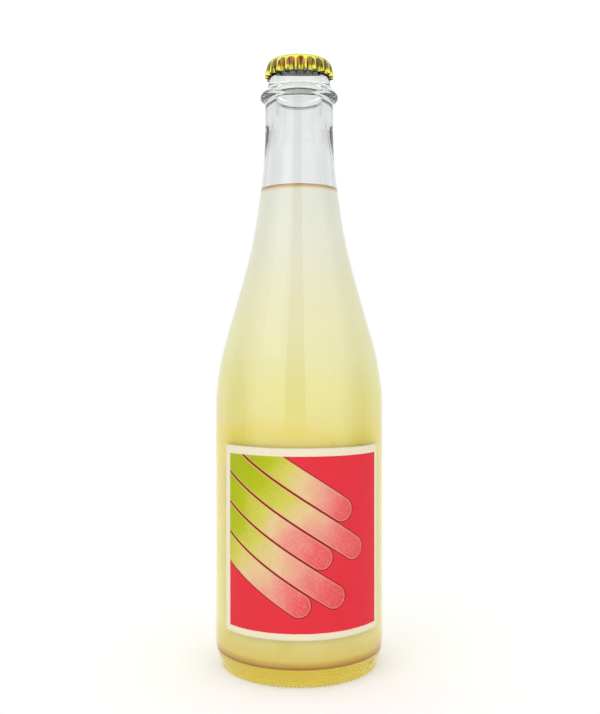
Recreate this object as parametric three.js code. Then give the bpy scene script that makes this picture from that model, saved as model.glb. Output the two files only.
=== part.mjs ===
// A capped glass bottle of cloudy drink with a square paper front label.
// Millimetres, +Z up. The origin is the centre of the base, on the surface the
// bottle stands on. The label faces -Y.
import * as THREE from 'three';

// ---- driving dimensions ----
const SEG = 48;                 // facets round the bottle, the drink and the label
const BODY_R = 41.0;            // straight body, outside radius
const WALL = 3.45;              // glass wall of the straight body
const BASE_RING_OUT = 37.6;     // flat ring that the bottle stands on
const BASE_RING_IN = 33.6;
const PUNT_H = 13.0;            // height of the hollow under the base
const FLOOR_Z = 7.2;            // lowest point of the inside
const FLOOR_CENTRE_Z = 17.5;    // inside, over the punt
const FILL_Z = 233.0;           // surface of the drink
const DRINK_GAP = 0.3;          // clearance between the drink's solid and the glass
const MOUTH_Z = 294.0;          // top of the glass
const MOUTH_R_IN = 11.1;        // bore at the mouth
const CHOKE_R = 10.1;           // narrowest part of the bore
const NECK_R = 16.7;            // outside of the upper neck
const COLLAR_R = 19.15;         // wire-ring collar under the cap
const COLLAR_Z = 277.3;
const CAP_TOP_Z = 295.4;        // overall height
const CAP_BOTTOM_Z = 287.0;
const CAP_FLAT_R = 11.2;        // flat top of the cap
const CAP_CREST_R = 17.0;       // crests of the flutes at the skirt's edge
const CAP_VALLEY_R = 15.3;      // valleys of the flutes
const CAP_T = 0.35;             // cap sheet
const FLUTES = 21;
const FLUTE_STEPS = 4;          // facets per flute
const FLUTE_TURN = THREE.MathUtils.degToRad(-87.3);   // one valley near the front
const LINER_R = 14.0;
const LINER_T = 0.7;
const FIT_GAP = 0.15;           // between flat faces that touch
const LABEL_Z0 = 22.2;          // lower edge of the label
const LABEL_Z1 = 108.7;         // upper edge
const LABEL_A0 = THREE.MathUtils.degToRad(-56.4);     // left edge, from the front
const LABEL_A1 = THREE.MathUtils.degToRad(63.4);      // right edge
const LABEL_GAP = 0.15;
const LABEL_T = 0.25;

// ---- materials ----
const glass = new THREE.MeshStandardMaterial({ color: 0xe6ebe9, roughness: 0.05, metalness: 0, transparent: true, opacity: 0.4 });
const liquid = new THREE.MeshStandardMaterial({ color: 0xe6dc94, roughness: 0.2, metalness: 0 });
const gold = new THREE.MeshStandardMaterial({ color: 0xc9b63a, roughness: 0.25, metalness: 1 });
const linerMat = new THREE.MeshStandardMaterial({ color: 0xe9e9e4, roughness: 0.6, metalness: 0 });
const paper = new THREE.MeshStandardMaterial({ color: 0xdf4045, roughness: 0.7, metalness: 0 });

const v = (r, z) => new THREE.Vector2(r, z);

// A solid of revolution about Z from a profile of [radius, height].
function turned(profile, segments) {
  const g = new THREE.LatheGeometry(profile.map(([r, z]) => v(r, z)), segments);
  g.rotateX(Math.PI / 2);
  return g;
}

function piece(name, geometry, material) {
  const m = new THREE.Mesh(geometry, material);
  m.name = name;
  return m;
}

// ---- glass bottle ----
// Outside, from the centre of the punt down, round the bearing ring and up.
const outside = [
  [0, PUNT_H], [9, PUNT_H - 0.9], [18, PUNT_H - 3.9], [26, PUNT_H - 8.4], [31, 1.7], [BASE_RING_IN, 0],
  [BASE_RING_OUT, 0], [38.15, 0.45], [38.25, 2.3], [38.9, 3.7], [39.8, 5.6], [40.6, 7.9], [40.95, 10.5],
  [BODY_R, 14], [BODY_R, 68], [BODY_R, 127],
  [40.85, 132], [40.2, 138], [39.25, 144], [38.1, 150], [36.6, 156], [34.85, 162], [33.1, 168],
  [29.7, 180], [26.3, 192], [23.45, 204], [21.2, 216], [19.45, 228], [17.9, 240], [17.0, 250.5],
  [NECK_R, 258], [NECK_R, 275.0], [18.0, 275.7], [18.9, 276.4], [COLLAR_R, COLLAR_Z], [18.85, 278.3],
  [15.9, 281.3], [14.7, 284.6], [14.45, 287.0], [14.4, 289.4], [14.7, 290.1], [14.75, 292.3], [14.2, 293.5], [13.2, MOUTH_Z],
];
// Inside, from the mouth down to the floor over the punt.
const inside = [
  [11.8, MOUTH_Z], [MOUTH_R_IN, 293.3], [MOUTH_R_IN, 273], [CHOKE_R + 0.3, 268.6], [CHOKE_R, 266], [CHOKE_R + 0.7, 263],
  [12.6, 257.5], [13.3, 250], [14.0, 241], [14.7, 233], [15.6, 226], [17.4, 216], [19.75, 204], [22.65, 192], [26.1, 180],
  [29.6, 168], [33.1, 156], [34.65, 150], [35.8, 144], [36.75, 138], [37.4, 132],
  [BODY_R - WALL, 126], [BODY_R - WALL, 68], [BODY_R - WALL, 17], [37.1, 12.6], [35.8, 9.4], [33.4, 7.6], [30.6, FLOOR_Z],
  [26, 8.6], [18, 13.4], [9, 16.6], [0, FLOOR_CENTRE_Z],
];
const bottle = piece('glass_bottle', turned([...outside, ...inside], SEG), glass);

// ---- drink ----
// Fills the inside up to the fill level, a small gap clear of the glass.
function innerOffset(points, gap) {
  // Each point moves along the inward normal of the profile.
  const out = [];
  for (let i = 0; i < points.length; i++) {
    const a = points[Math.max(0, i - 1)], b = points[Math.min(points.length - 1, i + 1)];
    const d = new THREE.Vector2(b[0] - a[0], b[1] - a[1]).normalize();
    // Going down the wall and in over the floor, the inside lies to the right-hand side.
    const n = new THREE.Vector2(d.y, -d.x);
    out.push([Math.max(0, points[i][0] + n.x * gap), points[i][1] + n.y * gap]);
  }
  return out;
}
const wet = inside.filter(([r, z]) => z <= FILL_Z + 1e-6 && !(z > FILL_Z - 0.01 && r < 5));
const wetOff = innerOffset(wet, DRINK_GAP);
wetOff[0] = [wet[0][0] - DRINK_GAP, FILL_Z];
wetOff[wetOff.length - 1] = [0, FLOOR_CENTRE_Z + DRINK_GAP];
const drinkProfile = [...wetOff].reverse();
drinkProfile.push([0, FILL_Z]);
const drink = piece('drink', turned(drinkProfile, SEG), liquid);

// ---- crown cap ----
// Outside from the middle of the top to the skirt's edge, then back inside.
const capRows = [
  // [mean radius, height, flute depth either side of the mean]
  [0, CAP_TOP_Z, 0], [CAP_FLAT_R, CAP_TOP_Z, 0], [13.0, CAP_TOP_Z - 0.15, 0], [14.1, CAP_TOP_Z - 0.55, 0], [15.15, CAP_TOP_Z - 1.05, 0],
  [15.43, CAP_TOP_Z - 1.75, 0.08], [15.68, CAP_TOP_Z - 3.0, 0.38], [15.88, CAP_TOP_Z - 4.6, 0.58], [16.05, CAP_TOP_Z - 6.4, 0.75],
  [(CAP_CREST_R + CAP_VALLEY_R) / 2, CAP_BOTTOM_Z, (CAP_CREST_R - CAP_VALLEY_R) / 2],
];
const capInner = [
  [(CAP_CREST_R + CAP_VALLEY_R) / 2 - CAP_T, CAP_BOTTOM_Z, (CAP_CREST_R - CAP_VALLEY_R) / 2],
  [16.05 - CAP_T, CAP_TOP_Z - 6.4, 0.75], [15.88 - CAP_T, CAP_TOP_Z - 4.6, 0.58], [15.68 - CAP_T, CAP_TOP_Z - 3.0, 0.38],
  [15.1, CAP_TOP_Z - 1.9, 0.08], [14.7, CAP_TOP_Z - 1.35, 0], [13.85, CAP_TOP_Z - 0.87, 0], [12.9, CAP_TOP_Z - CAP_T - 0.17, 0],
  [CAP_FLAT_R, CAP_TOP_Z - CAP_T, 0], [0, CAP_TOP_Z - CAP_T, 0],
];
function flutedCap() {
  const rows = [...capRows, ...capInner].reverse();
  const g = turned([...rows].map(([r, z]) => [r, z]), FLUTES * FLUTE_STEPS);
  const p = g.attributes.position;
  const n = rows.length;
  for (let i = 0; i < p.count; i++) {
    const depth = rows[i % n][2];
    if (depth === 0) continue;
    const x = p.getX(i), y = p.getY(i);
    const r = Math.hypot(x, y), a = Math.atan2(y, x);
    const s = (r - depth * Math.cos(FLUTES * a)) / r;
    p.setXY(i, x * s, y * s);
  }
  return g;
}
const cap = piece('crown_cap', flutedCap(), gold);
cap.rotation.z = FLUTE_TURN;

// ---- cap liner ----
const linerTop = CAP_TOP_Z - CAP_T - FIT_GAP;
const liner = piece('cap_liner', turned([
  [0, linerTop - LINER_T], [LINER_R - 0.5, linerTop - LINER_T], [LINER_R - 0.5, linerTop - 0.4], [CAP_FLAT_R + 1.2, linerTop - 0.1], [CAP_FLAT_R, linerTop], [0, linerTop],
], SEG), linerMat);

// ---- front label ----
// A thin curved sheet whose facets run parallel to the bottle's own.
function labelGeometry() {
  const step = 2 * Math.PI / SEG;
  const facet = (a) => {                      // radius of the facet's face at an angle
    const k = Math.floor(a / step), mid = (k + 0.5) * step;
    return Math.cos(step / 2) / Math.cos(a - mid);
  };
  const angles = [LABEL_A0];
  for (let k = Math.ceil(LABEL_A0 / step); k * step < LABEL_A1; k++) angles.push(k * step);
  angles.push(LABEL_A1);
  const at = (R, a) => v(R * facet(a) * Math.sin(a), -R * facet(a) * Math.cos(a));
  const rIn = BODY_R + LABEL_GAP, rOut = rIn + LABEL_T;
  const outer = angles.map((a) => at(rOut, a));
  const inner = angles.map((a) => at(rIn, a)).reverse();
  const shape = new THREE.Shape([...outer, ...inner]);
  const g = new THREE.ExtrudeGeometry(shape, { depth: LABEL_Z1 - LABEL_Z0, bevelEnabled: false });
  g.translate(0, 0, LABEL_Z0);
  return g;
}
const label = piece('front_label', labelGeometry(), paper);

const group = new THREE.Group();
group.add(bottle, drink, cap, liner, label);
export default group;
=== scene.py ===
import math

import bpy
import numpy as np
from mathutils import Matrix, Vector


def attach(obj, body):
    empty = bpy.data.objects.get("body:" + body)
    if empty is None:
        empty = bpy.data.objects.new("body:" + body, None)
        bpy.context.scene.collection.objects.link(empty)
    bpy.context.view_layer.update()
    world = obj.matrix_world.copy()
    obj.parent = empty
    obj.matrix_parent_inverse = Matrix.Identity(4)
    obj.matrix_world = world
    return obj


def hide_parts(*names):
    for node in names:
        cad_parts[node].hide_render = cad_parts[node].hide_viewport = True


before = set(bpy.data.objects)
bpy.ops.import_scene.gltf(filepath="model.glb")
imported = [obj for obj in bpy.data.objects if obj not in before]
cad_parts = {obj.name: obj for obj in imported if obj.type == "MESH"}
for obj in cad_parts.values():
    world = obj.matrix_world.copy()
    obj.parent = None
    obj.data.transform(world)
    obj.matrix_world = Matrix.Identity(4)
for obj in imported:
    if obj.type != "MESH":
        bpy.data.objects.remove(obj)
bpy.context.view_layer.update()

MM = 0.001
scene = bpy.context.scene

# ---------------------------------------------------------------- sizes (mm)
BODY_R = 40.95          # outside radius of the straight body
INNER_R = 37.55         # inside radius of the straight body
FILL_Z = 231.8          # surface of the drink, settled a little under the nominal fill
CAP_TOP = 295.4
CAP_BOTTOM = 287.0
FLUTES = 21
FLUTE_PHASE = math.radians(-87.3)
LABEL_Z0, LABEL_Z1 = 22.2, 108.7
LABEL_A0, LABEL_A1 = math.radians(-56.4), math.radians(63.4)
LABEL_R = BODY_R + 0.04
LABEL_T = 0.11


# ---------------------------------------------------------------- mesh helpers
def spline(points, step=0.05):
    """Dense centripetal Catmull-Rom curve through 2D points."""
    p = [np.array(q, float) for q in points]
    if len(p) == 2:
        n = max(2, int(np.linalg.norm(p[1] - p[0]) / step))
        return [p[0] + (p[1] - p[0]) * t for t in np.linspace(0, 1, n)]
    p = [2 * p[0] - p[1]] + p + [2 * p[-1] - p[-2]]
    out = []
    for i in range(1, len(p) - 2):
        p0, p1, p2, p3 = p[i - 1], p[i], p[i + 1], p[i + 2]
        t0 = 0.0
        t1 = t0 + math.sqrt(max(np.linalg.norm(p1 - p0), 1e-6))
        t2 = t1 + math.sqrt(max(np.linalg.norm(p2 - p1), 1e-6))
        t3 = t2 + math.sqrt(max(np.linalg.norm(p3 - p2), 1e-6))
        n = max(2, int(np.linalg.norm(p2 - p1) / step))
        for k in range(n):
            t = t1 + (t2 - t1) * k / n
            a1 = (t1 - t) / (t1 - t0) * p0 + (t - t0) / (t1 - t0) * p1
            a2 = (t2 - t) / (t2 - t1) * p1 + (t - t1) / (t2 - t1) * p2
            a3 = (t3 - t) / (t3 - t2) * p2 + (t - t2) / (t3 - t2) * p3
            b1 = (t2 - t) / (t2 - t0) * a1 + (t - t0) / (t2 - t0) * a2
            b2 = (t3 - t) / (t3 - t1) * a2 + (t - t1) / (t3 - t1) * a3
            out.append((t2 - t) / (t2 - t1) * b1 + (t - t1) / (t2 - t1) * b2)
    out.append(p[-2])
    return out


def thin_out(dense, turn=4.0, longest=6.0, fine=()):
    """Keeps the points of a dense curve where it has turned far enough, or gone far enough. fine holds (z0, z1, least r, step) bands that need closer rows."""
    kept = [dense[0]]
    heading = dense[1] - dense[0]
    heading = heading / max(np.linalg.norm(heading), 1e-9)
    last = dense[0]
    for i in range(1, len(dense) - 1):
        d = dense[i + 1] - dense[i]
        if np.linalg.norm(d) < 1e-9:
            continue
        d = d / np.linalg.norm(d)
        ang = math.degrees(math.acos(max(-1.0, min(1.0, float(d @ heading)))))
        far = np.linalg.norm(dense[i] - last)
        limit = longest
        for z0, z1, r0, step in fine:
            if z0 <= dense[i][1] <= z1 and dense[i][0] >= r0:
                limit = min(limit, step)
        if (ang >= turn and far > 0.04) or far >= limit:
            kept.append(dense[i])
            heading, last = d, dense[i]
    kept.append(dense[-1])
    return kept


def profile(runs, **kw):
    """Joins several smooth runs of control points into one profile with corners between them."""
    rows = []
    for run in runs:
        pts = thin_out(spline(run), **kw)
        if rows and np.linalg.norm(pts[0] - rows[-1]) < 1e-6:
            pts = pts[1:]
        rows += pts
    return rows


def lathe(name, rows, segs, shape=None, phase=0.0, uv=False):
    """A closed smooth solid of revolution. rows go from the axis, round the outside anticlockwise in (r, z), back to the axis, in mm. shape(r, z, phi, row) may move the points."""
    verts, faces = [], []
    ring = []
    phis = phase + np.arange(segs) * 2 * math.pi / segs
    c, s = np.cos(phis), np.sin(phis)
    for i, (r, z) in enumerate(rows):
        if r < 1e-6:
            ring.append(("pole", len(verts)))
            verts.append((0.0, 0.0, z * MM))
            continue
        rr, zz = np.full(segs, float(r)), np.full(segs, float(z))
        if shape is not None:
            rr, zz = shape(rr, zz, phis, i)
        ring.append(("ring", len(verts)))
        verts += list(zip(rr * c * MM, rr * s * MM, zz * MM))
    n = len(rows)
    for i in range(n - 1):
        ka, a = ring[i]
        kb, b = ring[i + 1]
        for j in range(segs):
            k = (j + 1) % segs
            if ka == "pole" and kb == "pole":
                continue
            if ka == "pole":
                faces.append((a, b + k, b + j))
            elif kb == "pole":
                faces.append((a + j, a + k, b))
            else:
                faces.append((a + j, a + k, b + k, b + j))
    return mesh_piece(name, verts, faces)


def mesh_piece(name, verts, faces, smooth=True):
    me = bpy.data.meshes.new(name)
    me.from_pydata([tuple(map(float, v)) for v in verts], [], faces)
    me.validate()
    me.update()
    if smooth:
        me.polygons.foreach_set("use_smooth", np.ones(len(me.polygons), bool))
    ob = bpy.data.objects.new(name, me)
    bpy.context.collection.objects.link(ob)
    return ob


def outward(ob):
    """Makes sure the closed mesh's faces point out."""
    me = ob.data
    me.calc_loop_triangles()
    co = np.empty(len(me.vertices) * 3, np.float32)
    me.vertices.foreach_get("co", co)
    co = co.reshape(-1, 3)
    tri = np.empty(len(me.loop_triangles) * 3, np.int32)
    me.loop_triangles.foreach_get("vertices", tri)
    a, b, c = co[tri.reshape(-1, 3)].transpose(1, 0, 2)
    vol = float(np.einsum("ij,ij->i", a, np.cross(b, c)).sum()) / 6
    if vol < 0:
        me.flip_normals()
    return ob


def smoothstep(a, b, x):
    t = np.clip((x - a) / (b - a), 0, 1)
    return t * t * (3 - 2 * t)


# ---------------------------------------------------------------- node helpers
class Mat:
    """A small wrapper that builds a node material."""

    def __init__(self, name):
        self.m = bpy.data.materials.new(name)
        self.m.use_nodes = True
        self.nt = self.m.node_tree
        self.nt.nodes.clear()
        self.out = self.nt.nodes.new("ShaderNodeOutputMaterial")
        self.p = self.nt.nodes.new("ShaderNodeBsdfPrincipled")
        self.nt.links.new(self.p.outputs[0], self.out.inputs["Surface"])

    def node(self, kind, **props):
        n = self.nt.nodes.new(kind)
        for k, v in props.items():
            setattr(n, k, v)
        return n

    def link(self, a, b):
        self.nt.links.new(a, b)

    def put(self, socket, value):
        if isinstance(value, bpy.types.NodeSocket):
            self.link(value, socket)
        else:
            socket.default_value = value

    def math(self, op, a, b=0.0, c=0.0, clamp=False):
        n = self.node("ShaderNodeMath", operation=op, use_clamp=clamp)
        for s, v in zip(n.inputs, (a, b, c)):
            self.put(s, v)
        return n.outputs[0]

    def noise(self, vector, scale, detail=3.0, rough=0.5, distortion=0.0):
        n = self.node("ShaderNodeTexNoise")
        self.link(vector, n.inputs["Vector"])
        n.inputs["Scale"].default_value = scale
        n.inputs["Detail"].default_value = detail
        n.inputs["Roughness"].default_value = rough
        n.inputs["Distortion"].default_value = distortion
        return n.outputs["Fac"]

    def remap(self, v, a, b, c, d, clamp=True, smooth=False):
        n = self.node("ShaderNodeMapRange", clamp=clamp)
        if smooth:
            n.interpolation_type = "SMOOTHSTEP"
        self.put(n.inputs["Value"], v)
        for k, x in zip(("From Min", "From Max", "To Min", "To Max"), (a, b, c, d)):
            self.put(n.inputs[k], x)
        return n.outputs["Result"]

    def mix(self, f, a, b, blend="MIX"):
        n = self.node("ShaderNodeMix", data_type="RGBA", blend_type=blend)
        self.put(n.inputs[0], f)
        for s, v in ((n.inputs[6], a), (n.inputs[7], b)):
            self.put(s, v if isinstance(v, bpy.types.NodeSocket) else (*v, 1.0))
        return n.outputs[2]

    def ramp(self, f, stops, interpolation="LINEAR"):
        n = self.node("ShaderNodeValToRGB")
        n.color_ramp.interpolation = interpolation
        e = n.color_ramp.elements
        while len(e) > 1:
            e.remove(e[-1])
        e[0].position, e[0].color = stops[0][0], (*stops[0][1], 1)
        for pos, col in stops[1:]:
            x = e.new(pos)
            x.color = (*col, 1)
        self.put(n.inputs["Fac"], f)
        return n.outputs["Color"]

    def bump(self, height, strength, distance, normal=None):
        n = self.node("ShaderNodeBump")
        n.inputs["Strength"].default_value = strength
        n.inputs["Distance"].default_value = distance
        self.link(height, n.inputs["Height"])
        if normal is not None:
            self.link(normal, n.inputs["Normal"])
        return n.outputs["Normal"]


def lin(r, g, b):
    """sRGB 0-255 to linear."""
    return tuple(
        (c / 12.92 if c <= 0.04045 else ((c + 0.055) / 1.055) ** 2.4)
        for c in (x / 255 for x in (r, g, b))
    )


# ================================================================ glass bottle
HEEL_BAND = (0.0, 8.4, 33.8, 0.32)
outside_runs = [
    # hollow under the base, from its centre out to the bearing ring
    [(0, 12.9), (6, 12.45), (12, 11.1), (18, 9.0), (24, 6.1), (28.5, 3.6), (31.5, 1.75), (33.3, 0.62), (34.2, 0.12), (34.8, 0.0)],
    [(34.8, 0.0), (37.2, 0.0)],
    # bearing ring's edge, short upright band, heel and straight body
    [(37.2, 0.0), (37.75, 0.12), (38.08, 0.5), (38.2, 1.1), (38.22, 1.9), (38.4, 2.6), (38.9, 3.7), (39.75, 5.7), (40.45, 7.8), (40.82, 10.3), (40.95, 13.5), (40.95, 17)],
    [(40.95, 17), (40.95, 122)],
    # shoulder and neck
    [(40.95, 122), (40.93, 127), (40.78, 132), (40.15, 138), (39.2, 144), (38.05, 150), (36.6, 156), (34.85, 162), (33.1, 168), (31.4, 174), (29.68, 180),
     (27.95, 186), (26.3, 192), (24.82, 198), (23.42, 204), (22.25, 210), (21.18, 216), (20.28, 222), (19.4, 228), (18.58, 234), (17.88, 240),
     (17.3, 246), (16.95, 252), (16.78, 258), (16.7, 266), (16.68, 273.2), (16.8, 274.6), (17.4, 275.3), (18.3, 275.8), (18.95, 276.45), (19.13, 277.2),
     (18.98, 277.95), (18.3, 278.85), (17.3, 279.8), (16.4, 280.95), (15.75, 282.3), (15.3, 283.6), (14.95, 284.8), (14.62, 285.9), (14.45, 287.0), (14.4, 288.8), (14.46, 289.5),
     (14.66, 289.95), (14.75, 290.7), (14.72, 291.9), (14.45, 292.9), (13.9, 293.6), (13.1, 293.96), (12.5, 294.0)],
]
inside_runs = [
    [(12.5, 294.0), (11.9, 293.85), (11.35, 293.35), (11.12, 292.5), (11.1, 291)],
    [(11.1, 291), (11.15, 282), (11.2, 276), (10.98, 272), (10.75, 269), (10.68, 266.4), (10.95, 263.7), (11.55, 260.8), (12.2, 257.8), (12.75, 254.8), (13.15, 251.3), (13.5, 247.5), (14.0, 241), (14.7, 233),
     (15.6, 226), (17.4, 216), (19.75, 204), (22.65, 192), (26.1, 180), (29.6, 168), (33.1, 156), (34.65, 150), (35.8, 144), (36.75, 138), (37.35, 132), (37.53, 127), (37.55, 122)],
    [(37.55, 122), (37.55, 19)],
    [(37.55, 19), (37.5, 16), (37.1, 12.6), (36.2, 9.9), (34.8, 8.2), (33.0, 7.35), (30.8, 7.15), (28.0, 7.7), (24.0, 9.8), (18, 13.2), (12, 15.6), (6, 17.0), (0, 17.5)],
]
out_rows = profile(outside_runs, turn=3.5, longest=7.0, fine=[HEEL_BAND])
in_rows = profile(inside_runs, turn=4.0, longest=8.0)
glass_rows = out_rows + in_rows[1:]
N_OUT = len(out_rows)

SEG_G = 600
KNURLS = 120
rng = np.random.default_rng(7)
# small mould dots on the heel: (angle from the front, height, size)
dots = []
for row, z in enumerate((4.2, 5.6, 7.0)):
    for i in range(17):
        if (i * 5 + row * 3) % 7 in (0, 3):
            continue
        dots.append((math.radians(11.5 + 2.9 * i + 0.6 * row), z, 0.66))
for i in range(5):
    dots.append((math.radians(-28 + 3.0 * i), 3.1, 0.5))
for i in range(4):
    dots.append((math.radians(-9 + 2.6 * i), 2.9, 0.5))
for a in (-92.0, 88.0):
    for z in (4.2, 6.2):
        dots.append((math.radians(a), z, 0.7))


def glass_shape(r, z, phi, row):
    if row < N_OUT:
        z0, r0 = z[0], r[0]
        # stippled bearing ring: short raised bars with hollows between them
        if 34.0 <= r0 <= 38.3 and z0 < 1.3:
            bar = 0.5 + 0.5 * np.cos(KNURLS * phi)
            bar = smoothstep(0.25, 0.7, bar)
            fade = smoothstep(33.9, 34.8, r0) * (1 - smoothstep(0.55, 1.3, z0))
            z = z + 0.5 * fade * (1 - bar)
            r = r - 0.28 * fade * (1 - bar) * smoothstep(37.2, 38.0, r0)
        # mould dots on the heel
        if 2.0 < z0 < 8.5 and r0 > 38:
            front = phi + math.pi / 2
            for a, zz, size in dots:
                d = (front - a + math.pi) % (2 * math.pi) - math.pi
                q = (d * r0) ** 2 + (z0 - zz) ** 2
                r = r + 0.7 * np.exp(-q / (2 * (size * 0.45) ** 2))
        # mould seams, a fine rounded line up each side
        if z0 > 3 and z0 < 292 and r0 > 14.5:
            for a in (0.0, math.pi):
                d = (phi - a + math.pi) % (2 * math.pi) - math.pi
                r = r + 0.05 * np.exp(-((d * r0) / 0.35) ** 2)
    return r, z


glass = outward(lathe("glass_bottle_blown", glass_rows, SEG_G, glass_shape))

m = Mat("clear_flint_glass")
obj = m.node("ShaderNodeTexCoord").outputs["Object"]
wave = m.noise(obj, 28.0, 1.5, 0.4)
ripple = m.noise(obj, 120.0, 2.0, 0.5)
tint = m.remap(wave, 0.3, 0.7, 0.0, 1.0)
m.put(m.p.inputs["Base Color"], m.mix(tint, (0.965, 0.985, 0.975), (0.985, 0.992, 0.985)))
m.put(m.p.inputs["Roughness"], m.remap(ripple, 0.45, 0.8, 0.0, 0.02))
m.p.inputs["IOR"].default_value = 1.52
m.p.inputs["Transmission Weight"].default_value = 1.0
h = m.math("ADD", m.math("MULTIPLY", wave, 1.0), m.math("MULTIPLY", ripple, 0.12))
m.link(m.bump(h, 0.25, 0.0004), m.p.inputs["Normal"])
vol = m.node("ShaderNodeVolumeAbsorption")
vol.inputs["Color"].default_value = (0.78, 0.89, 0.85, 1)
vol.inputs["Density"].default_value = 12.0
m.link(vol.outputs[0], m.out.inputs["Volume"])
glass.data.materials.append(m.m)
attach(glass, "root"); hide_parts("glass_bottle")

# ================================================================ drink
OVER = 0.06   # the drink's skin lies just inside the glass, so no air film shows
wet = [(r, z) for r, z in in_rows if z < FILL_Z - 0.01]
dense_r = lambda z: float(np.interp(-z, [-p[1] for p in in_rows if p[0] > 12], [p[0] for p in in_rows if p[0] > 12]))
r_fill = float(np.interp(FILL_Z, [226, 233, 241], [15.6, 14.7, 14.0]))
rows_up = []
for i, (r, z) in enumerate(reversed(wet)):
    rows_up.append([r, z])
rows_up = [np.array(p) for p in rows_up]
pushed = []
for i, p in enumerate(rows_up):
    a, b = rows_up[max(0, i - 1)], rows_up[min(len(rows_up) - 1, i + 1)]
    d = (b - a) / np.linalg.norm(b - a)
    nrm = np.array([d[1], -d[0]])
    q = p + nrm * OVER
    pushed.append((max(0.0, q[0]) if i else 0.0, q[1]))
top = [(r_fill + OVER, FILL_Z + 0.1), (r_fill + OVER - 0.03, FILL_Z + 0.4), (r_fill - 0.2, FILL_Z + 0.32), (r_fill - 0.7, FILL_Z + 0.12), (r_fill - 1.6, FILL_Z + 0.02),
       (r_fill - 3.5, FILL_Z), (6, FILL_Z), (0, FILL_Z)]
top = thin_out(spline(top, 0.03), turn=8.0, longest=2.5)
drink_rows = pushed + [tuple(p) for p in top[1:-1]] + [(0.0, FILL_Z)]
drink = outward(lathe("cloudy_drink", drink_rows, 240))

m = Mat("cloudy_yellow_drink")
tc = m.node("ShaderNodeTexCoord").outputs["Object"]
sep = m.node("ShaderNodeSeparateXYZ")
m.link(tc, sep.inputs[0])
z_mm = m.math("MULTIPLY", sep.outputs["Z"], 1000.0)
cloud = m.noise(tc, 24.0, 4.0, 0.55, 0.6)
speck = m.noise(tc, 420.0, 2.0, 0.6)
z_cl = m.math("ADD", z_mm, m.remap(cloud, 0.2, 0.8, -7.0, 7.0, clamp=False))


def under_glass(r, g, b, gain=1.0):
    """Base colour that shows as this sRGB colour when it lies behind glass in even light."""
    out = []
    for e in lin(r, g, b):
        e = min(e * gain, 0.93)
        out.append(min(0.985, e / (0.384 + 0.6 * e)))
    return tuple(out)


G = 1.0
# painted light and shade: the drink's colour by height stands for light passing through it. It is pale in the narrow
# neck, deeper in the wide body and deepest beside the label, where the drink lies in the label's shade. The brown band
# just above the floor is painted shade in the heel's inner corner, and the darker ring at the top is a painted
# reflection of the surface seen from below
stops = [
    (6.0, (104, 62, 20)), (8.1, (112, 68, 22)), (8.9, (176, 118, 36)), (10.4, (196, 142, 54)), (11.8, (222, 182, 76)), (15.4, (234, 196, 88)), (18.5, (247, 213, 104)), (21.4, (254, 226, 116)), (30, (252, 222, 110)),
    (104, (246, 210, 88)), (113.8, (243, 208, 82)), (119.2, (237, 211, 105)), (126, (232, 213, 114)), (132.6, (231, 214, 119)), (139.4, (229, 214, 124)), (146, (228, 216, 134)),
    (153, (227, 216, 146)), (166.6, (226, 216, 154)), (180.7, (223, 214, 164)), (195, (221, 215, 176)), (209.5, (220, 215, 187)), (222, (218, 216, 191)), (228.0, (220, 217, 189)),
    (230.4, (218, 208, 174)), (231.1, (160, 116, 62)), (233.4, (128, 86, 44)),
]
LOW, HIGH = 6.0, 233.4
plain = [(s[0] - LOW) / (HIGH - LOW) for s in stops]
f = m.remap(z_mm, LOW, HIGH, 0.0, 1.0)
fc = m.remap(z_cl, LOW, HIGH, 0.0, 1.0)
ramp_edge = m.ramp(f, [(p, under_glass(*s[1], gain=G)) for p, s in zip(plain, stops)])
soft = [s for s in stops if 12 < s[0] < 229]
ramp_soft = m.ramp(fc, [((s[0] - LOW) / (HIGH - LOW), under_glass(*s[1], gain=G)) for s in soft])
inside = m.math("MULTIPLY", m.remap(z_mm, 12.0, 20.0, 0.0, 1.0), m.remap(z_mm, 222.0, 229.0, 1.0, 0.0))
col = m.mix(inside, ramp_edge, ramp_soft)
col = m.mix(m.remap(speck, 0.45, 0.9, 0.0, 0.10), col, under_glass(240, 236, 205))
# painted light: over the raised floor of the bottle the drink is painted deep gold and given a faint glow, standing for
# the light from behind that comes through the drink there
rad = m.math("MULTIPLY", m.math("SQRT", m.math("ADD", m.math("MULTIPLY", sep.outputs["X"], sep.outputs["X"]), m.math("MULTIPLY", sep.outputs["Y"], sep.outputs["Y"]))), 1000.0)
under = m.math("MULTIPLY", m.remap(rad, 33.2, 34.8, 1.0, 0.0), m.remap(z_mm, 19.0, 21.0, 1.0, 0.0))
painted_backlight_gold = m.mix(m.remap(cloud, 0.3, 0.7, 0.0, 1.0), under_glass(236, 194, 62), under_glass(230, 184, 50))
col = m.mix(under, col, painted_backlight_gold)
m.put(m.p.inputs["Base Color"], col)
m.put(m.p.inputs["Emission Color"], painted_backlight_gold)
m.put(m.p.inputs["Emission Strength"], m.math("MULTIPLY", under, 0.27))
m.p.inputs["Roughness"].default_value = 0.35
m.p.inputs["Specular IOR Level"].default_value = 0.0
m.p.inputs["Subsurface Weight"].default_value = 0.0
drink.data.materials.append(m.m)
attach(drink, "root"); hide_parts("drink")

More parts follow.
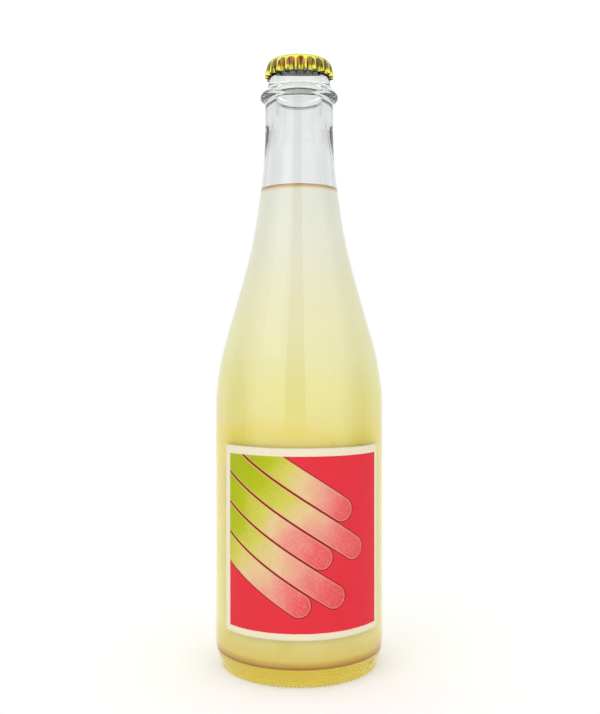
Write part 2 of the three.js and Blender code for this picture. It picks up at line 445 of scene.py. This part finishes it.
# ================================================================ crown cap
T = 0.26     # sheet thickness, lacquer included
cap_out = [(0, CAP_TOP - 0.02), (4, CAP_TOP), (8.5, CAP_TOP), (11.0, CAP_TOP - 0.04), (12.6, CAP_TOP - 0.2), (13.7, CAP_TOP - 0.46), (14.55, CAP_TOP - 0.82), (15.12, CAP_TOP - 1.3), (15.38, CAP_TOP - 1.9),
           (15.66, CAP_TOP - 3.0), (15.88, CAP_TOP - 4.6), (16.04, CAP_TOP - 6.4), (16.14, CAP_BOTTOM + 0.14)]
edge = [(16.14, CAP_BOTTOM + 0.14), (16.09, CAP_BOTTOM + 0.03), (16.0, CAP_BOTTOM), (15.91, CAP_BOTTOM + 0.03), (15.86, CAP_BOTTOM + 0.14)]
oo = thin_out(spline(cap_out, 0.03), turn=4.0, longest=0.42)
ee = thin_out(spline(edge, 0.01), turn=25.0, longest=0.1)
inner = []
for i, p in enumerate(oo):
    a, b = oo[max(0, i - 1)], oo[min(len(oo) - 1, i + 1)]
    d = (b - a) / np.linalg.norm(b - a)
    inner.append(p + np.array([d[1], -d[0]]) * T)
inner = inner[::-1]
inner[0] = np.array(ee[-1])
inner = [q for q in inner if q[0] > 0.3 or q is inner[-1]]
inner[-1] = np.array([0.0, CAP_TOP - 0.02 - T])
N_CAP_OUT = len(oo)
cap_rows = list(oo) + list(ee[1:]) + [tuple(q) for q in inner[1:]]
N_EDGE = len(oo) + len(ee) - 1


def crest_valley(z):
    """How far the crests and the valleys of the flutes stand from the mean radius."""
    d = CAP_TOP - z
    crest = np.interp(d, [1.0, 1.4, 1.9, 3.0, 4.6, 6.4, 8.4], [0.0, 0.05, 0.14, 0.40, 0.60, 0.76, 0.84])
    valley = np.interp(d, [1.2, 1.6, 1.9, 3.0, 4.6, 5.6, 6.4, 7.4, 8.4], [0.0, -0.03, -0.07, -0.24, -0.42, -0.57, -0.73, -0.95, -1.16])
    return crest, valley


def cap_shape(r, z, phi, row):
    z0 = z[0]
    crest, valley = crest_valley(z0)
    if crest == 0.0 and valley == 0.0:
        return r, z
    c = -np.cos(FLUTES * (phi - FLUTE_PHASE))          # -1 in a valley, 1 on a crest
    w = 0.5 + 0.5 * c
    w = np.clip(w, 0, 1) ** 2.2                         # broad valleys, narrow crests
    # a slow unevenness, as crimping jaws leave
    uneven = 0.05 * np.sin(3 * phi + 0.7) + 0.04 * np.sin(5 * phi + 2.1)
    dr = valley + (crest - valley) * w
    k = min(1.0, (CAP_TOP - z0) / 8.4)
    r = r + dr + uneven * k
    # at the skirt's edge the crests stand a little higher than the valleys
    z = z + 0.22 * w * smoothstep(6.6, 8.4, CAP_TOP - z0)
    return r, z


cap = outward(lathe("crown_cap_fluted", cap_rows, FLUTES * 28, cap_shape, phase=FLUTE_PHASE))
# the valley attribute is 1 in the flute hollows; the lacquer uses it to paint shade there
valley_shade_attr = cap.data.attributes.new("valley", "FLOAT", "POINT")
co = np.array([v.co for v in cap.data.vertices]) * 1000
ph = np.arctan2(co[:, 1], co[:, 0])
vv = 0.5 + 0.5 * np.cos(FLUTES * (ph - FLUTE_PHASE))
vv = vv * smoothstep(1.4, 3.2, CAP_TOP - co[:, 2])
valley_shade_attr.data.foreach_set("value", vv.astype(np.float32))
# painted shade: dark arches at the head of each valley, where the hollow turns under and lies in shade
arch_shade_attr = cap.data.attributes.new("arch_shade", "FLOAT", "POINT")
turn = (FLUTES * (ph - FLUTE_PHASE) / (2 * math.pi) + 0.5) % 1.0 - 0.5        # 0 in the middle of a valley
q = np.abs(turn) / 0.455
depth = CAP_TOP - co[:, 2]
arch_shade = smoothstep(-0.3, 0.4, depth - (1.8 + 1.6 * q ** 2)) * (1 - smoothstep(5.6, 6.8, depth)) * (1 - smoothstep(0.8, 1.15, q))
arch_shade_attr.data.foreach_set("value", arch_shade.astype(np.float32))

m = Mat("gold_lacquered_steel")
tc = m.node("ShaderNodeTexCoord").outputs["Object"]
at = m.node("ShaderNodeAttribute", attribute_name="valley", attribute_type="GEOMETRY")
fine = m.noise(tc, 900.0, 3.0, 0.6)
broad = m.noise(tc, 140.0, 3.0, 0.55)
base = m.mix(m.remap(broad, 0.3, 0.7, 0, 1), lin(196, 193, 44), lin(187, 183, 39))
# painted shade: the lacquer is darkened in the flute valleys, standing for the shade in the hollows
base = m.mix(m.math("MULTIPLY", at.outputs["Fac"], m.remap(broad, 0.3, 0.7, 0.3, 0.6)), base, lin(136, 108, 32))
at2 = m.node("ShaderNodeAttribute", attribute_name="arch_shade", attribute_type="GEOMETRY")
brown_reflection_noise = m.noise(tc, 95.0, 1.0, 0.4)
# painted shade and painted reflection: the arches are dark olive, turning brown in patches where a brown thing in front
# of the cap is mirrored
dark = m.mix(m.remap(brown_reflection_noise, 0.45, 0.58, 0.0, 1.0), lin(80, 68, 14), lin(118, 66, 26))
base = m.mix(m.math("MULTIPLY", at2.outputs["Fac"], m.remap(broad, 0.3, 0.7, 0.8, 1.0)), base, dark)
m.put(m.p.inputs["Base Color"], base)
m.p.inputs["Metallic"].default_value = 1.0
m.put(m.p.inputs["Roughness"], m.remap(fine, 0.3, 0.8, 0.14, 0.30))
m.p.inputs["Coat Weight"].default_value = 0.6
m.p.inputs["Coat Roughness"].default_value = 0.08
m.p.inputs["Coat IOR"].default_value = 1.5
h = m.math("ADD", m.math("MULTIPLY", fine, 0.3), m.math("MULTIPLY", broad, 0.4))
m.link(m.bump(h, 0.25, 0.00012), m.p.inputs["Normal"])
cap.data.materials.append(m.m)

m2 = Mat("tinplate_edge_shaded")
tc = m2.node("ShaderNodeTexCoord").outputs["Object"]
n1 = m2.noise(tc, 240.0, 3.0, 0.5)
# partly real, partly painted shade: bare tinplate, but given a dark grey far below real tin to carry the shade under
# the cap's skirt
m2.put(m2.p.inputs["Base Color"], m2.mix(m2.remap(n1, 0.3, 0.7, 0, 1), lin(86, 88, 80), lin(98, 99, 92)))
m2.p.inputs["Metallic"].default_value = 1.0
m2.put(m2.p.inputs["Roughness"], m2.remap(n1, 0.3, 0.7, 0.46, 0.52))
cap.data.materials.append(m2.m)
# the cut edge and the inside show bare tinplate, its grey darkened as painted shade under the skirt
idx = np.zeros(len(cap.data.polygons), np.int32)
per = FLUTES * 28
for i, p in enumerate(cap.data.polygons):
    row = i // per
    if row >= N_CAP_OUT - 1:
        idx[i] = 1
cap.data.polygons.foreach_set("material_index", idx)
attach(cap, "root"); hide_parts("crown_cap")

# ================================================================ liner
LT = CAP_TOP - T - 0.08
liner_runs = [[(0, LT - 0.55), (9.6, LT - 0.55)], [(9.6, LT - 0.55), (10.2, LT - 0.62), (10.8, LT - 0.95), (11.3, LT - 1.12), (11.9, LT - 1.12)],
              [(11.9, LT - 1.12), (12.9, LT - 1.1), (13.5, LT - 0.95), (13.75, LT - 0.7), (13.5, LT - 0.42), (12.4, LT - 0.12), (11.2, LT - 0.02)],
              [(11.2, LT - 0.02), (6, LT), (0, LT)]]
liner = outward(lathe("cap_liner_disc", profile(liner_runs, turn=8.0, longest=3.0), 160))
m = Mat("soft_white_liner")
tc = m.node("ShaderNodeTexCoord").outputs["Object"]
n1 = m.noise(tc, 260.0, 3.0, 0.55)
m.put(m.p.inputs["Base Color"], m.mix(n1, lin(222, 222, 216), lin(238, 238, 233)))
m.put(m.p.inputs["Roughness"], m.remap(n1, 0.3, 0.7, 0.5, 0.7))
m.link(m.bump(n1, 0.2, 0.00005), m.p.inputs["Normal"])
liner.data.materials.append(m.m)
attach(liner, "root"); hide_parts("cap_liner")

# ================================================================ front label
LW = (LABEL_A1 - LABEL_A0) * (LABEL_R + LABEL_T)      # width along the arc, mm
LH = LABEL_Z1 - LABEL_Z0
NU, NV = 220, 96
verts, faces, uvs = [], [], []
us = np.linspace(0, 1, NU + 1)
vs = np.linspace(0, 1, NV + 1)


def label_point(u, v, r):
    # the cut edges wander by a tenth of a millimetre
    a = LABEL_A0 + (LABEL_A1 - LABEL_A0) * u
    z = LABEL_Z0 + LH * v
    z += (0.08 * math.sin(5.0 * u + 1.0) + 0.05 * math.sin(13.0 * u)) * (1 if v > 0.5 else -1) * abs(2 * v - 1) ** 6
    a += (0.0012 * math.sin(6.0 * v + 0.5)) * abs(2 * u - 1) ** 8
    return (r * math.sin(a), -r * math.cos(a), z)


def shell(r):
    base = len(verts)
    for j in range(NV + 1):
        for i in range(NU + 1):
            x, y, z = label_point(us[i], vs[j], r)
            verts.append((x * MM, y * MM, z * MM))
            uvs.append((us[i], vs[j]))
    return base


of_ = shell(LABEL_R + LABEL_T)
ib_ = shell(LABEL_R)
W = NU + 1
for j in range(NV):
    for i in range(NU):
        a = of_ + j * W + i
        faces.append((a, a + 1, a + 1 + W, a + W))
        b = ib_ + j * W + i
        faces.append((b, b + W, b + 1 + W, b + 1))
for i in range(NU):
    a, b = of_ + i, ib_ + i
    faces.append((b, b + 1, a + 1, a))
    a, b = of_ + NV * W + i, ib_ + NV * W + i
    faces.append((a, a + 1, b + 1, b))
for j in range(NV):
    a, b = of_ + j * W, ib_ + j * W
    faces.append((a, a + W, b + W, b))
    a, b = of_ + j * W + NU, ib_ + j * W + NU
    faces.append((b, b + W, a + W, a))
label = mesh_piece("front_label_paper", verts, faces)
uvl = label.data.uv_layers.new(name="sheet")
uv_arr = np.array(uvs, np.float32)
li = np.empty(len(label.data.loops), np.int32)
label.data.loops.foreach_get("vertex_index", li)
uvl.data.foreach_set("uv", uv_arr[li].ravel())
outward(label)

m = Mat("printed_label_paper")
uvn = m.node("ShaderNodeUVMap", uv_map="sheet")
sp = m.node("ShaderNodeSeparateXYZ")
m.link(uvn.outputs[0], sp.inputs[0])
U = m.math("MULTIPLY", sp.outputs["X"], LW)            # mm from the left edge
V = m.math("MULTIPLY", sp.outputs["Y"], LH)            # mm from the lower edge
tc = m.node("ShaderNodeTexCoord").outputs["Object"]
fibre = m.noise(tc, 900.0, 4.0, 0.65)
grain = m.noise(tc, 3200.0, 2.0, 0.6)
blot = m.noise(tc, 60.0, 4.0, 0.6)
spray = m.noise(tc, 1300.0, 3.0, 0.7)
CREAM = lin(240, 231, 204)
RED = lin(228, 49, 62)
cream = m.mix(m.remap(fibre, 0.3, 0.7, 0.0, 1.0), CREAM, lin(233, 223, 193))
red = m.mix(m.remap(blot, 0.3, 0.7, 0.0, 1.0), RED, lin(225, 45, 58))
red = m.mix(m.remap(spray, 0.58, 0.78, 0.0, 0.3), red, lin(238, 106, 104))
# the printed field
fx0 = (math.radians(-51.4) - LABEL_A0) * (LABEL_R + LABEL_T)
fx1 = (math.radians(59.6) - LABEL_A0) * (LABEL_R + LABEL_T)
fz0, fz1 = 25.25 - LABEL_Z0, 105.0 - LABEL_Z0
rough_edge = m.math("MULTIPLY", m.math("SUBTRACT", m.noise(tc, 700.0, 3.0, 0.6), 0.5), 0.35)


def band(value, lo, hi, soft=0.12):
    a = m.remap(m.math("ADD", value, rough_edge), lo - soft, lo + soft, 0.0, 1.0)
    b = m.remap(m.math("ADD", value, rough_edge), hi - soft, hi + soft, 1.0, 0.0)
    return m.math("MULTIPLY", a, b)


field = m.math("MULTIPLY", band(U, fx0, fx1), band(V, fz0, fz1))
# plain slanting bars, green at the upper left fading through cream to pink
ANG = math.radians(-33.0)
ca, sa = math.cos(ANG), math.sin(ANG)
U0, V0 = (fx0 + fx1) / 2, (fz0 + fz1) / 2
uu, vv_ = m.math("SUBTRACT", U, U0), m.math("SUBTRACT", V, V0)
S = m.math("ADD", m.math("MULTIPLY", uu, ca), m.math("MULTIPLY", vv_, sa))          # along the bars
Tt = m.math("ADD", m.math("MULTIPLY", uu, -sa), m.math("MULTIPLY", vv_, ca))        # across them
PITCH, HALF = 11.7, 5.85
bars = [(2, 12.0), (1, 27.0), (0, 15.0), (-1, 30.0), (-2, 18.0)]
printed = red
LINE = lin(132, 22, 20)
EDGE = lin(247, 176, 150)
for k, end in bars:
    t = m.math("SUBTRACT", Tt, k * PITCH - 1.0)
    # distance from a long round-ended bar
    sx = m.math("MAXIMUM", m.math("SUBTRACT", S, end - HALF), 0.0)
    d = m.math("SUBTRACT", m.math("SQRT", m.math("ADD", m.math("MULTIPLY", sx, sx), m.math("MULTIPLY", t, t))), HALF)
    d = m.math("ADD", d, m.math("MULTIPLY", rough_edge, 0.5))
    along = m.math("ADD", S, m.remap(blot, 0.2, 0.8, -7.0, 7.0, clamp=False))
    f = m.remap(along, -46.0, end, 0.0, 1.0)
    body = m.ramp(f, [(0.0, lin(166, 182, 0)), (0.18, lin(180, 190, 4)), (0.36, lin(210, 203, 88)), (0.5, lin(228, 198, 146)), (0.66, lin(233, 156, 138)), (0.84, lin(232, 98, 102)), (1.0, lin(227, 70, 78))])
    ribs = m.math("MULTIPLY", m.math("SINE", m.math("MULTIPLY", t, 3.2)), 0.5)
    body = m.mix(m.remap(ribs, 0.25, 0.5, 0.0, 0.04), body, lin(250, 226, 170))
    body = m.mix(m.math("MULTIPLY", m.remap(spray, 0.54, 0.7, 0.0, 0.28), m.remap(f, 0.12, 0.42, 0.25, 1.0)), body, lin(248, 222, 176))
    body = m.mix(m.remap(spray, 0.46, 0.34, 0.0, 0.14), body, lin(196, 110, 60))
    line = m.remap(d, -0.6, -0.36, 0.0, 1.0)
    edge_line = m.remap(d, -1.1, -0.6, 0.0, 0.5)
    body = m.mix(edge_line, body, EDGE)
    body = m.mix(line, body, LINE)
    inside_bar = m.remap(d, -0.08, 0.08, 1.0, 0.0)
    printed = m.mix(inside_bar, printed, body)
col = m.mix(field, cream, printed)
m.put(m.p.inputs["Base Color"], col)
m.put(m.p.inputs["Roughness"], m.remap(fibre, 0.3, 0.7, 0.52, 0.7))
m.p.inputs["Specular IOR Level"].default_value = 0.18
hh = m.math("ADD", m.math("MULTIPLY", fibre, 1.0), m.math("MULTIPLY", grain, 0.5))
m.link(m.bump(hh, 0.35, 0.00006), m.p.inputs["Normal"])
label.data.materials.append(m.m)
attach(label, "root"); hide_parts("front_label")

# ================================================================ stage
scene.view_settings.view_transform = "Standard"
scene.view_settings.look = "None"
scene.view_settings.exposure = 0.0
scene.view_settings.gamma = 1.0

floor_me = bpy.data.meshes.new("floor")
xs_f = (-0.8, -0.4, -0.15, 0.0, 0.15, 0.4, 0.8)
ys_f = (-0.8, -0.5, -0.2, 0.0, 0.2, 0.45, 0.8)
fv = [(x, y, -0.0001) for y in ys_f for x in xs_f]
nx = len(xs_f)
ff = [(j * nx + i, j * nx + i + 1, (j + 1) * nx + i + 1, (j + 1) * nx + i) for j in range(len(ys_f) - 1) for i in range(nx - 1)]
floor_me.from_pydata(fv, [], ff)
floor = bpy.data.objects.new("floor", floor_me)
bpy.context.collection.objects.link(floor)
fm = Mat("pale_floor")
tc = fm.node("ShaderNodeTexCoord").outputs["Object"]
n1 = fm.noise(tc, 60.0, 3.0, 0.5)
fm.put(fm.p.inputs["Base Color"], fm.mix(n1, (0.86, 0.86, 0.86), (0.88, 0.88, 0.88)))
fm.p.inputs["Roughness"].default_value = 0.9
fm.p.inputs["Specular IOR Level"].default_value = 0.0
fm.p.inputs["Emission Color"].default_value = (1, 1, 1, 1)
fm.p.inputs["Emission Strength"].default_value = 0.17
floor_me.materials.append(fm.m)

# world: plain white to the camera; to everything else a soft studio, white behind and below, a little darker at the sides
w = bpy.data.worlds.new("studio")
scene.world = w
w.use_nodes = True
nt = w.node_tree
nt.nodes.clear()
wo = nt.nodes.new("ShaderNodeOutputWorld")
tcw = nt.nodes.new("ShaderNodeTexCoord")
sx = nt.nodes.new("ShaderNodeSeparateXYZ")
nt.links.new(tcw.outputs["Generated"], sx.inputs[0])


def wmath(op, a, b=0.0, clamp=False):
    q = nt.nodes.new("ShaderNodeMath")
    q.operation = op
    q.use_clamp = clamp
    for s_, v_ in zip(q.inputs, (a, b)):
        if isinstance(v_, bpy.types.NodeSocket):
            nt.links.new(v_, s_)
        else:
            s_.default_value = v_
    return q.outputs[0]


def wmap(v, a, b, c, d):
    q = nt.nodes.new("ShaderNodeMapRange")
    q.interpolation_type = "SMOOTHSTEP"
    nt.links.new(v, q.inputs["Value"])
    for s_, x_ in zip(("From Min", "From Max", "To Min", "To Max"), (a, b, c, d)):
        q.inputs[s_].default_value = x_
    return q.outputs["Result"]


ax = wmath("ABSOLUTE", sx.outputs["X"])
rear = wmap(sx.outputs["Y"], -0.2, 0.5, 0.0, 1.0)          # 1 behind the object
side = wmap(ax, 0.84, 0.97, 0.0, 1.0)                     # 1 out at either side
# the dark gap between the two soft boxes, where the camera stands
az = wmath("ARCTAN2", sx.outputs["X"], wmath("MULTIPLY", sx.outputs["Y"], -1.0))
gap = wmath("MULTIPLY", wmap(az, -0.36, -0.30, 0.0, 1.0), wmap(az, 0.12, 0.18, 1.0, 0.0))
gap = wmath("MULTIPLY", gap, wmap(sx.outputs["Z"], -0.12, -0.02, 0.0, 1.0))
gap = wmath("MULTIPLY", gap, wmap(sx.outputs["Z"], 0.45, 0.8, 1.0, 0.0))
level = wmath("ADD", wmath("MULTIPLY", rear, -0.04), 0.92)
level = wmath("MULTIPLY", level, wmath("SUBTRACT", 1.0, wmath("MULTIPLY", side, 0.5)))
level = wmath("MULTIPLY", level, wmath("SUBTRACT", 1.0, wmath("MULTIPLY", wmap(ax, 0.95, 0.99, 0.0, 1.0), 0.75)))
lp = nt.nodes.new("ShaderNodeLightPath")
# light that reaches the drink through the glass is lifted, and so is what falls on paper and cap, to stand for the soft boxes' full strength
through = wmath("MULTIPLY", wmath("GREATER_THAN", lp.outputs["Diffuse Depth"], 0.5), wmath("GREATER_THAN", lp.outputs["Transmission Depth"], 0.5))
plain_d = wmath("GREATER_THAN", lp.outputs["Diffuse Depth"], 0.5)
lift = wmath("ADD", wmath("ADD", 1.0, wmath("MULTIPLY", plain_d, 0.14)), wmath("MULTIPLY", through, 0.56))
level = wmath("MULTIPLY", level, lift)
# what glass and lacquer mirror straight to the eye is the full strength of the soft boxes
first = wmath("MULTIPLY", lp.outputs["Is Glossy Ray"], wmath("LESS_THAN", lp.outputs["Transmission Depth"], 0.5))
first = wmath("MULTIPLY", first, wmath("LESS_THAN", lp.outputs["Glossy Depth"], 1.5))
ahead = wmath("SUBTRACT", 1.0, wmath("MULTIPLY", rear, 0.9))
level = wmath("MULTIPLY", level, wmath("ADD", 1.0, wmath("MULTIPLY", wmath("MULTIPLY", first, ahead), 1.1)))
# what is seen straight through the clear glass is a shade darker than what lights the drink
clear = wmath("MULTIPLY", wmath("SUBTRACT", 1.0, plain_d), wmath("SUBTRACT", 1.0, first))
level = wmath("MULTIPLY", level, wmath("SUBTRACT", 1.0, wmath("MULTIPLY", clear, 0.09)))
bg_s = nt.nodes.new("ShaderNodeBackground")
bg_c = nt.nodes.new("ShaderNodeBackground")
bg_c.inputs["Color"].default_value = (1, 1, 1, 1)
bg_c.inputs["Strength"].default_value = 1.02
tone = nt.nodes.new("ShaderNodeMix")
tone.data_type = "RGBA"
nt.links.new(wmath("MULTIPLY", wmath("MULTIPLY", gap, first), 0.92), tone.inputs[0])
tone.inputs[6].default_value = (1, 1, 1, 1)
tone.inputs[7].default_value = (0.20, 0.11, 0.07, 1)
nt.links.new(tone.outputs[2], bg_s.inputs["Color"])
nt.links.new(level, bg_s.inputs["Strength"])
mx = nt.nodes.new("ShaderNodeMixShader")
nt.links.new(lp.outputs["Is Camera Ray"], mx.inputs[0])
nt.links.new(bg_s.outputs[0], mx.inputs[1])
nt.links.new(bg_c.outputs[0], mx.inputs[2])
nt.links.new(mx.outputs[0], wo.inputs["Surface"])

# one large soft lamp over the front left gives the cap and the glass their lights
ld = bpy.data.lights.new("soft_key", "AREA")
ld.shape = "RECTANGLE"
ld.size, ld.size_y = 0.7, 0.9
ld.energy = 1.2
lo = bpy.data.objects.new("soft_key", ld)
lo.location = (-0.75, -0.75, 1.05)
lo.rotation_euler = (Vector((0, 0, 0.18)) - Vector(lo.location)).to_track_quat("-Z", "Y").to_euler()
bpy.context.collection.objects.link(lo)

# ---------------------------------------------------------------- camera
cam_d = bpy.data.cameras.new("camera")
cam = bpy.data.objects.new("camera", cam_d)
bpy.context.collection.objects.link(cam)
cam_d.sensor_width = 36.0
cam_d.lens = 45.14
cam_d.shift_y = -0.0098
cam.location = (0.0004, -0.4428, 0.1529)
cam.rotation_euler = (math.radians(90.0), 0.0, 0.0)
scene.camera = cam
